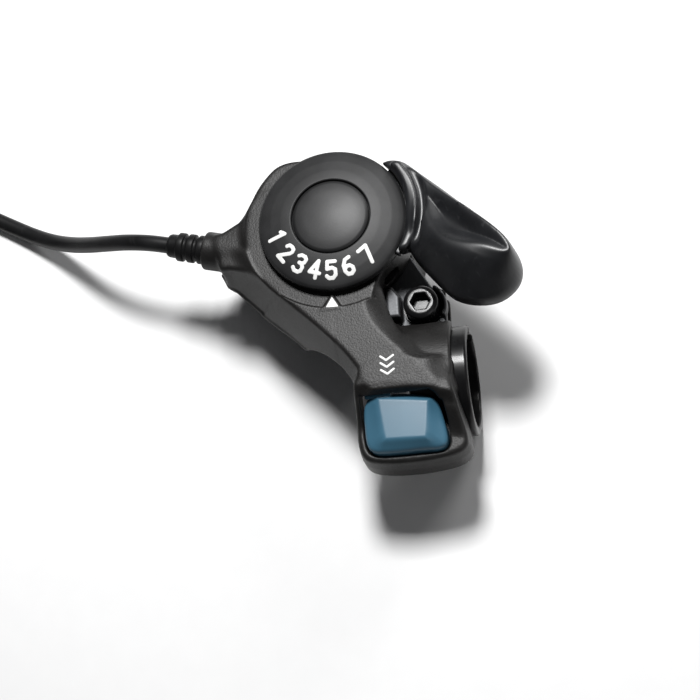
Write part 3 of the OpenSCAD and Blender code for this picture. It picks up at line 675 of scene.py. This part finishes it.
def upper_hollows(x, y, z):
    """The room inside the upper housing, negative where there is air."""
    r, _ = dial_polar(x, y)
    _, from_wire = along_outlet(x, y, z)
    bar = np.hypot(y, z)
    drum_room = smax(r - CAVITY_R, z - ROOF_Z, 0.3)
    hub_hole = r - 7.4
    dial_seat = smax(r - 21.5, LAND_Z - z, 0.25)
    bar_room = smax(bar - 11.3, x + 7.3, 0.2)
    band_room = smax(bar - 13.35, -7.3 - x, 0.2)
    wire_hole = from_wire - 2.2
    lug_room = smax(smax(slab(x, -8.7, 6), slab(y, 12.3, 25), 0.6), slab(z, -6, 11.9), 0.6)
    bolt_room = smin(disc(x, y, BOLT, 4.95), lug_room, 0.8)
    cheek = polygon(x, y, [(-12, 14), (-7.8, 14), (-7.8, 20), (-9.8, 22.9), (-12, 22.1)])
    cheek_room = np.maximum(cheek, slab(z, 3, 10.1))
    plate = polygon(x, y, [(-18.9, 24.9), (-11.7, 12.5), (2.5, 12.5), (2.5, 20.3), (-1, 23.1),
                           (-7.3, 34.5)])
    plate_room = np.maximum(plate, slab(z, 4, 6))
    arm_room = np.maximum(arm_field(x, y, z) + SHELL_WALL, np.maximum(z - INNER_ROOF_Z, -3 - y))
    flank_room = np.maximum(flank_field(x, y, z) + SHELL_WALL, z - INNER_ROOF_Z)
    pawl = polygon(x - DIAL[0], y - DIAL[1], [(-14, -10), (-12, -15.6), (-8, -20.4), (7.8, -20.4),
                                              (8.8, -14), (4, -10)])
    pawl_room = np.maximum(pawl, slab(z, GUIDE_Z0, ROOF_Z))
    slider = np.maximum(slab(x, SLIDER_X - 2.1, SLIDER_X + 2.1), slab(y, -8, 19))
    slider_room = np.maximum(slider, slab(z, GUIDE_Z0, ROOF_Z))
    button_room = smax(button_sweep(x, y), slab(z, 6.5, ROOF_Z), 0.2)
    opening = smax(polygon(x, y, BUTTON) - BUTTON_GAP, 6.5 - z, 0.2)
    opening = np.maximum(opening, y + 6.8)
    return joined(drum_room, hub_hole, dial_seat, bar_room, band_room, wire_hole, bolt_room, cheek_room,
                  plate_room, arm_room, flank_room, pawl_room, slider_room, button_room, opening)


def upper_field(x, y, z):
    body = smax(upper_shell(x, y, z), -upper_hollows(x, y, z), 0.35)
    tab = polygon(x - DIAL[0], y - DIAL[1], [(-1.45, -18.5), (-0.9, -18.5), (1.3, -22.3),
                                             (-4.2, -22.3)])
    tab = smax(tab, slab(z, 15.6, 17.1), 0.35)
    return smin(body, tab, 0.25)


upper = solid("upper_shell", upper_field, (-56, -24, 1), (8, 65, 18.6), FINE)
keep(upper, M_TOP, "root", "housing", "upper_housing")


# ---------------------------------------------------------------- lower housing
def lower_hollows(x, y, z):
    """The room inside the lower housing, negative where there is air."""
    r, _ = dial_polar(x, y)
    rooms = [smax(r - CAVITY_R, -11.1 - z, 0.5), smax(np.hypot(y, z) - 11.3, x - 20, 0.2)]
    for degrees in SCREW_ANGLES:
        turn = math.radians(degrees)
        hole = disc(x, y, DIAL + SCREW_RING_R * np.array([math.cos(turn), math.sin(turn)]), 0)
        rooms += [smax(hole - 2.75, z + 6, 0.2), hole - 1.2]
    ring_groove = smax(np.abs(r - 12.2) - 0.5, z - FLOOR_Z - 0.5, 0.2)
    middle_dent = smax(r - 3.4, z - FLOOR_Z - 0.7, 0.2)
    return joined(*rooms, ring_groove, middle_dent)


def lower_field(x, y, z):
    r, turn = dial_polar(x, y)
    wall = np.interp(z, [-13.1, -11.7, -2, 1.2, 1.8, 3], [20.8, 22.2, 24.6, 25.3, 26, 26])
    wall = POD_R + (wall - POD_R) * flare(turn)
    cup = smax((r - wall) * 0.97, slab(z, FLOOR_Z + 0.03, SPLIT_Z), 0.5)
    u, v = outlet_frame(x, y)
    half = np.interp(u, [18, 20, NOSE_END], [12, 11, 4.8])
    lip = smax(smax(np.abs(v) - half, slab(u, 16.5, NOSE_END), 0.8), slab(z, 1.2, SPLIT_Z), 0.5)
    floor_plate = smax(polygon(x, y, [(-40, 22), (-33.6, 12.6), (-12, 12.6), (-12, 20), (-20, 30)]),
                       slab(z, -0.9, SPLIT_Z), 0.6)
    body = smin(smin(cup, lip, 0.8), floor_plate, 1.0)
    return smax(body, -lower_hollows(x, y, z), 0.3)


lower = solid("lower_shell", lower_field, (-54, 10, FLOOR_Z - 1), (0, 65, 4), FINE * 1.1)
keep(lower, M_CUP, "root", "housing", "lower_housing")

# ---------------------------------------------------------------- dial, digits and cap
DIAL_TOP = [(5.6, 19.8), (9.42, 19.75), (9.42, 20.68), (9.7, 20.86), (12, 20.5), (14.6, 19.92),
            (16.3, 19.35), (17.25, 18.98), (17.8, 18.45), (17.8, 16.95), (17.55, 16.6),
            (16.9, 16.6), (16.9, 18.2), (5.6, 18.2)]
dial = lathe("number_dial_visual", round_profile(DIAL_TOP, 0.3, 3), DIAL, 144)
keep(dial, M_DIAL, "lever", "dial", "number_dial")
CAP_SHAPE = [(0, 21.74), (1, 21.73), (3, 21.62), (6, 21.28), (8.3, 20.86), (9.05, 20.6),
             (9.15, 20.3), (9.15, 19.9), (5.4, 19.9), (5.4, 20.8), (0, 20.8)]
cap = lathe("centre_cap_visual", CAP_SHAPE, DIAL, 128, closed=False)
keep(cap, M_CAP, "lever", "dial", "centre_cap")

STROKES = {
    1: [[(-0.75, 1.15), (0.1, 1.95), (0.1, -2)]],
    2: [[(-1.05, 1.15), (-0.75, 1.75), (0, 1.95), (0.75, 1.75), (1.0, 1.1), (0.8, 0.45),
         (-1.05, -1.9), (1.15, -1.9)]],
    3: [[(-1.05, 1.5), (-0.5, 1.92), (0.45, 1.92), (1, 1.45), (0.95, 0.65), (0.4, 0.15),
         (-0.2, 0.12)], [(0.4, 0.15), (1.05, -0.5), (1.05, -1.4), (0.5, -1.92), (-0.5, -1.92),
                         (-1.1, -1.45)]],
    4: [[(0.45, -2), (0.45, 1.95), (-1.2, -0.85), (1.25, -0.85)]],
    5: [[(1.0, 1.92), (-0.85, 1.92), (-0.95, 0.2), (0.25, 0.45), (1.0, 0), (1.05, -1.2),
         (0.4, -1.92), (-0.6, -1.9), (-1.1, -1.4)]],
    6: [[(0.85, 1.92), (-0.2, 1.6), (-0.95, 0.4), (-1.0, -1), (-0.55, -1.8), (0.3, -1.92),
         (0.98, -1.4), (1.0, -0.6), (0.45, 0.05), (-0.4, 0), (-0.98, -0.6)]],
    7: [[(-1.15, 1.92), (1.1, 1.92), (-0.25, -2)]],
}
DIGIT_AT = {1: -165, 2: -144.6, 3: -125.8, 4: -108.6, 5: -92.1, 6: -74.8, 7: -52.4}
DIGIT_R = 13.5
STROKE_HALF = 0.47
PAINT_PROUD = 0.07
FAR_OFF = 9.0
DIAL_FACE_R, DIAL_FACE_Z = zip(*DIAL_TOP[3:8])


def digit_field(number):
    a = math.radians(DIGIT_AT[number])
    at = DIAL + DIGIT_R * np.array([math.cos(a), math.sin(a)])

    def field(x, y, z):
        v = -(x - at[0]) * math.cos(a) - (y - at[1]) * math.sin(a)
        u = -(x - at[0]) * math.sin(a) + (y - at[1]) * math.cos(a)
        d = FAR_OFF + 0 * u
        for stroke in STROKES[number]:
            for p, q in zip(stroke[:-1], stroke[1:]):
                d = np.minimum(d, capsule(u, v, p, q, STROKE_HALF))
        face_z = np.interp(dial_polar(x, y)[0], DIAL_FACE_R, DIAL_FACE_Z)
        return smax(d, slab(z, face_z - 0.25, face_z + PAINT_PROUD), 0.05)
    return field, at


for number in STROKES:
    field, at = digit_field(number)
    mark = solid(f"digit_{number}", field, (at[0] - 3, at[1] - 3, 18.6), (at[0] + 3, at[1] + 3, 21.2),
                 0.14, 1)
    keep(mark, M_PAINT, "lever", "dial")


def pointer_field(x, y, z):
    d = polygon(x - DIAL[0], y - DIAL[1], [(-1.17, -19.0), (0.35, -21.7), (-2.85, -21.7)])
    return smax(d, slab(z, 16.9, 17.18), 0.05)


def printed(d, x, y, z):
    """A mark that lies in the shell's skin and stands just proud of it."""
    return smax(d, slab(upper_shell(x, y, z), -0.35, 0.06), 0.04)


def chevron_field(x, y, z):
    """Plain chevrons on the arm that point at the button."""
    strokes = []
    for k in (0, 1.7, 3.4):
        for side in (-1, 1):
            point, end = (-10.9 - 0.05 * k, -2.6 + k), (-10.9 + 1.5 * side, -1.5 + k)
            strokes.append(capsule(x, y, point, end, 0.28))
    return printed(joined(*strokes), x, y, z)


chevrons = solid("arm_chevrons", chevron_field, (-13.5, -4, 16.2), (-8, 5.5, 17.8), 0.14, 1)
keep(chevrons, M_PAINT, "root", "housing")
pointer = solid("pointer_mark", pointer_field, (-26, 14.5, 16.5), (-20, 19.5, 17.6), 0.12, 1)
keep(pointer, M_PAINT, "root", "housing")

# ---------------------------------------------------------------- thumb lever
LEVER = smooth_outline([(12, 12.5), (17, 13.2), (22, 8.8), (27.8, 3.2), (33, -2.4), (38, -7.8),
                        (42.6, -13.6), (44.1, -18.4), (42.8, -22.6), (38.8, -25.6), (33.5, -26),
                        (28, -24), (23.6, -19), (19.6, -13.5), (17, -8.5), (13, -5), (11, 4)])
PLATEAU = smooth_outline([(19.5, 9.2), (24.5, 3.9), (30.5, -2.4), (36.5, -8.6), (40.8, -13.6),
                          (42.2, -17), (40.6, -17.6), (36, -15.6), (31, -14), (27, -11.6),
                          (24, -7.4), (22.3, -2), (20.6, 4)])


CROWN_Z, CROWN_RISE = 21.6, 7.4
SKIRT_Z, SKIRT_RISE = 19.2, 1.4
DISH_DEPTH = 1.9
RIB_R = 19.9


def lever_field(x, y, z):
    """Paddle with a dished top and skirted sides, a rib beside the dial, and the hub below it."""
    x, y = x - DIAL[0], y - DIAL[1]
    r = np.hypot(x, y)
    outline = polygon(x, y, LEVER)
    inside = np.maximum(-outline, 0)
    away = np.maximum(polygon(x, y, PLATEAU), 0)
    q = inside / (inside + away + 1e-6)
    reach = np.array([27, -29])
    along = np.clip(((x - 17) * reach[0] + (y - 13) * reach[1]) / (reach @ reach), 0, 1)
    crown = CROWN_Z + CROWN_RISE * step(along, 0.12, 0.92)
    scoop = DISH_DEPTH * step(-polygon(x, y, PLATEAU), 0, 4.2) * step(along, 0.1, 0.5)
    skirt = SKIRT_Z + SKIRT_RISE * along
    height = skirt + (crown - skirt) * np.sin(q * math.pi / 2) ** 1.15 - scoop
    paddle = smax(smax(outline, (z - height) * 0.62, 1.0), LEVER_Z - z, 0.7)
    paddle = smax(paddle, 18.15 - r, 0.4)
    rib_turn = np.arctan2(y, x)
    rib = smax(np.abs(r - RIB_R) - 1.1, slab(z, LEVER_Z, 21.9), 0.9)
    rib = smax(rib, np.abs(rib_turn - 0.03) * r - 12.5, 1.6)
    groove = np.hypot(r - 22.0, z - 22.3) - 1.0
    paddle = smax(paddle, -smax(groove, np.abs(rib_turn - 0.03) * r - 11, 1.5), 0.8)
    paddle = smin(paddle, rib, 0.5)
    neck = smax(smax(r - 19, slab(z, 16.85, 18.15), 0.2),
                polygon(x, y, [(0, 0), (30, -21), (30, 24)]), 0.2)
    hub = smax(smax(r - 16.7, LEVER_BORE_R - r, 0.1), slab(z, 16.8, HUB_Z - 0.05), 0.2)
    stem = smax(smax(r - 7, LEVER_BORE_R - r, 0.1), slab(z, 15.05, 17), 0.2)
    bar = capsule(x, y, (31.2, -2.6), (34.6, -4.6), 0.45)
    paddle = smin(paddle, smax(bar, np.abs(z - height) - 0.28, 0.2), 0.15)
    return joined(paddle, neck, hub, stem)


lever = solid("lever_paddle", lever_field, (-40, 9, 14), (25, 56, 31), FINE)
keep(lever, M_LEVER, "lever", "lever", "thumb_lever")


# ---------------------------------------------------------------- release button
BUTTON_EDGE_Z, BUTTON_RISE = 12.75, 2.3
BUTTON_MIDDLE = (-8.2, -13)


def button_field(x, y, z):
    """Faceted pad with a low crown, cut away below for the clamp band and the slider."""
    side = polygon(x, y, BUTTON)
    facet = np.maximum(polygon(x, y, FACET) + 0.35, 0) ** 1.12
    inner = np.maximum(-side, 0)
    q = inner / (inner + facet + 1e-6)
    crown = disc(x, y, BUTTON_MIDDLE, 0) ** 2 / 260
    top = BUTTON_EDGE_Z + BUTTON_RISE * smin(q, 0.95, 0.3) - 0.3 * crown
    draft = 0.02 * (12.7 - z)
    body = smax(smax(side - draft, (z - top) * 0.85, 0.8), 7 - z, 0.3)
    nub = smax(smax(slab(x, -17, -11), slab(y, -7, -5.05), 0.2), slab(z, 13.5, 14.6), 0.2)
    body = np.minimum(body, nub)
    bar = joined(*(np.hypot(y + PRESS * k, z) for k in (0, 0.5, 1)))
    body = smax(body, BAND_R + 0.4 - bar, 0.3)
    body = smax(body, -smax(slab(y, -14.4, 2), z - 11, 0.2), 0.2)
    hollow = smax(smax(slab(x, -16.5, -1.5), slab(y, -19, -15), 0.4), z - 12, 0.4)
    return smax(body, -hollow, 0.3)


button = solid("button_pad", button_field, (-20, -22, 5), (4, -3, 16), 0.28)
keep(button, M_BUTTON, "release", "button", "release_button")


# ---------------------------------------------------------------- clamp band, bolt and bracket
def band_field(x, y, z):
    """Split ring round the bar, with two lugs that the bolt draws together."""
    bar = np.hypot(y, z)
    ring = smax(smax(bar - BAND_R, np.abs(x) - BAND_HALF, 0.7), BAR_R - bar, 0.25)
    lug = smax(smax(slab(x, -8.35, 2.15), slab(y, 10.6, 22.4), 1.2),
               slab(np.abs(z), LUG_GAP_HALF, PLATE_Z0), 0.35)
    lug = np.maximum(lug, np.where(x < -BAND_HALF, BAR_R + 1.2, BAR_R) - bar)
    body = smin(ring, lug, 0.6)
    body = np.maximum(body, BAR_R - bar)
    body = smax(body, -smax(5 - y, np.abs(z) - LUG_GAP_HALF, 0.2), 0.3)
    return smax(body, -disc(x, y, BOLT, BOLT_HOLE_R), 0.2)


band = solid("band_strip", band_field, (-10, -15, -15), (9, 24, 15), FINE)
keep(band, M_BAND, "root", "black_steel", "clamp_band")


def bolt_field(x, y, z):
    """Knurled socket head with a six-sided recess, and a threaded shank."""
    x, y = x - BOLT[0], y - BOLT[1]
    r = np.hypot(x, y)
    turn = np.arctan2(y, x)
    knurl = 0.09 * np.cos(turn * 30) * step(z, 7, 7.6) * (1 - step(z, 9.4, 10))
    head = smax(r - 4.13 - knurl, slab(z, BOLT_HEAD_Z0, BOLT_HEAD_Z1), 0.7)
    head = smax(head, z + 0.6 * np.maximum(r - 3.1, 0) - BOLT_HEAD_Z1, 0.4)
    slant = math.sin(math.radians(60)) * x
    hexagon = np.maximum(np.abs(y), np.maximum(np.abs(0.5 * y + slant), np.abs(0.5 * y - slant)))
    head = smax(head, -smax(hexagon - 2.0, 8.4 - z, 0.2), 0.25)
    pitch = 0.8
    thread = 0.13 * np.sin(z * 2 * math.pi / pitch + turn)
    shank = smax(r - 2.36 - thread * step(-z, -5, -4), slab(z, -10.2, 7), 0.3)
    return np.minimum(head, shank)


bolt = solid("pinch_bolt", bolt_field, (-8.5, 11.8, -11), (2.2, 22.4, 12), 0.2)
keep(bolt, M_BAND, "root", "black_steel", "clamp_bolt")


def bracket_field(x, y, z):
    """Base plate that joins the pod to the clamp, with a raised cheek and a guard round the bolt."""
    plane = polygon(x, y, [(DIAL[0] + 3, DIAL[1] - 12), (-11.4, 12.8), (2.2, 12.8), (2.2, 20),
                           (-1, 22.8), (DIAL[0] + 14.6, DIAL[1] - 3)])
    r, _ = dial_polar(x, y)
    plate = smax(smin(plane, r - 15.4, 0.3), slab(z, PLATE_Z0, PLATE_Z1), 0.4)
    cheek = polygon(x, y, [(-11.6, 14.4), (-8.2, 14.4), (-8.2, 19.6), (-10, 22.4), (-11.6, 21.6)])
    cheek = smax(cheek, slab(z, PLATE_Z0, 9.6), 0.7)
    bx, by = x - BOLT[0], y - BOLT[1]
    guard = smax(np.abs(np.hypot(bx, by) - 5.5) - 0.4, slab(z, 5, 8.2), 0.3)
    guard = smax(guard, np.abs(np.arctan2(by, bx) - math.radians(15)) * 5.5 - 4.2, 0.3)
    body = smin(smin(plate, cheek, 0.5), guard, 0.3)
    body = smax(body, 3.02 - r, 0.1)
    return smax(body, 2.65 - np.hypot(bx, by), 0.15)


bracket = solid("bracket_plate", bracket_field, (-39, 11, 3), (4, 54, 11), 0.3)
keep(bracket, M_BRACKET, "root", "bracket_steel", "base_bracket")

# ---------------------------------------------------------------- cable outlet cap
CAP_BAND_R, CAP_GROOVE_R = 3.5, 2.95
CAP_SIDE = [(0.9, 0), (2.9, 0)]
for start, stop in ((0.15, 1.5), (2.7, 4.1), (5.3, 6.7)):
    CAP_SIDE += [(CAP_BAND_R, start), (CAP_BAND_R, stop)]
    if stop < 6:
        CAP_SIDE += [(CAP_GROOVE_R, stop + 0.3), (CAP_GROOVE_R, stop + 1)]
CAP_LENGTH = CAP_T1 - CAP_T0
CAP_SIDE += [(2.9, 7), (2.85, CAP_LENGTH - 0.6), (2.55, CAP_LENGTH), (2.05, CAP_LENGTH),
             (2.05, CAP_LENGTH - CAP_SOCKET), (0.9, CAP_LENGTH - CAP_SOCKET)]
end_cap = lathe("outlet_cap_visual", round_profile(CAP_SIDE, 0.15, 2), steps=64)
lay_along(end_cap, Vector((*OUT, 0)), Vector((*(TANGENT + CAP_T0 * OUT), CABLE_Z)))
keep(end_cap, M_CUP, "root", "housing", "outlet_end_cap")

# ---------------------------------------------------------------- clip and far end of the cable
CLIP_TURN = math.radians(118)


def clip_field(x, y, z):
    """Strap round the coil's turns, open at the foot, as wide at the top as the turns there."""
    x, y, h = x - COIL_AT[0], y - COIL_AT[1], z - FLOOR_Z
    u = x * math.cos(CLIP_TURN) + y * math.sin(CLIP_TURN)
    v = y * math.cos(CLIP_TURN) - x * math.sin(CLIP_TURN)
    r = np.hypot(u, v)
    skin = smax(smax(slab(u, 18, 28), np.abs(v) - 2.95, 0.8), slab(h, 0.25, 8.35), 0.8)
    skin = smax(skin, 0.8 * (np.abs(u - TAIL_R) + 0.55 * h) - 6.75, 0.8)
    skin = smax(skin, -smax(np.abs(v) - 1.5, 8.0 - h, 0.2), 0.2)
    room = smax(slab(r, 18.95, 27.05), h - 7.65, 0.3)
    room = smax(room, 0.91 * (np.abs(r - TAIL_R) + 0.455 * h) - 5.05, 0.3)
    return smax(skin, -room, 0.15)


clip = solid("coil_clip_visual", clip_field, (-165, 66, FLOOR_Z - 1), (-147, 82, FLOOR_Z + 10), 0.25)
keep(clip, M_INNER, "root", "inner_plastic", "coil_clip")
FAR_CAP_SIDE = [(0.8, 36), (2.05, 36), (2.05, 30), (2.8, 30), (2.8, 31.2), (2.5, 31.5), (2.5, 33.1),
                (2.22, 33.4), (2.22, 34.3), (2.5, 34.6), (2.5, 37.5), (2.1, 38), (0.8, 38)]
far_cap = lathe("far_end_cap_visual", round_profile(FAR_CAP_SIDE, 0.15, 2), steps=64)
tail_turn = math.radians(TAIL_ANGLE)
outward = Vector((math.cos(tail_turn), math.sin(tail_turn), 0))
lay_along(far_cap, Vector((-outward.y, outward.x, 0)),
          Vector((*COIL_AT, FLOOR_Z + TAIL_Z)) + TAIL_R * outward)
keep(far_cap, M_ZINC, "root", "zinc_steel", "far_end_cap")


# ---------------------------------------------------------------- guide plate for the pawl and slider
def guide_field(x, y, z):
    plate = polygon(x, y, [(-31, 18.4), (-14.8, 18.4), (-12.5, 12), (-9.8, -3), (-17, -3), (-27, 12)])
    plate = smax(plate, slab(z, GUIDE_Z0, GUIDE_Z1), 0.2)
    plate = smax(plate, -disc(x, y, DIAL, CAVITY_R + 0.1), 0.1)
    plate = smax(plate, -disc(x, y, PAWL_PIN, 1.05), 0.1)
    tongue = smax(smax(slab(x, SLIDER_X - 0.55, SLIDER_X + 0.55), slab(y, 7.2, 7.8), 0.1),
                  slab(z, 13.2, 14.7), 0.1)
    return np.minimum(plate, tongue)


guide = solid("guide_plate_visual", guide_field, (-33, -5, 11), (-8, 24, 15.5), 0.3)
keep(guide, M_INNER, "root", "inner_plastic", "guide_plate")

# ---------------------------------------------------------------- finishes of the carried-over parts
FINISH = {
    "bolt_washer": M_BAND, "clamp_nut": M_ZINC, "centre_axle": M_ZINC,
    "axle_screw": M_ZINC, "axle_washer": M_ZINC, "thrust_washer": M_BRASS,
    "return_spring": M_SPRING, "pawl_pin": M_ZINC, "housing_screws": M_ZINC,
    "inner_wire_run": M_SPRING,
    "inner_wire_tail": M_SPRING, "wire_tip": M_ZINC, "axle_bushing": M_BRASS,
    "cable_drum": M_DRUM, "ratchet_wheel": M_ZINC, "wire_nipple": M_ZINC,
    "inner_wire_wrap": M_SPRING, "release_slider": M_INNER, "release_spring": M_SPRING,
    "pawl": M_ZINC, "pawl_spring": M_SPRING,
}
for node, finish in FINISH.items():
    dress(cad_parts[node], finish)
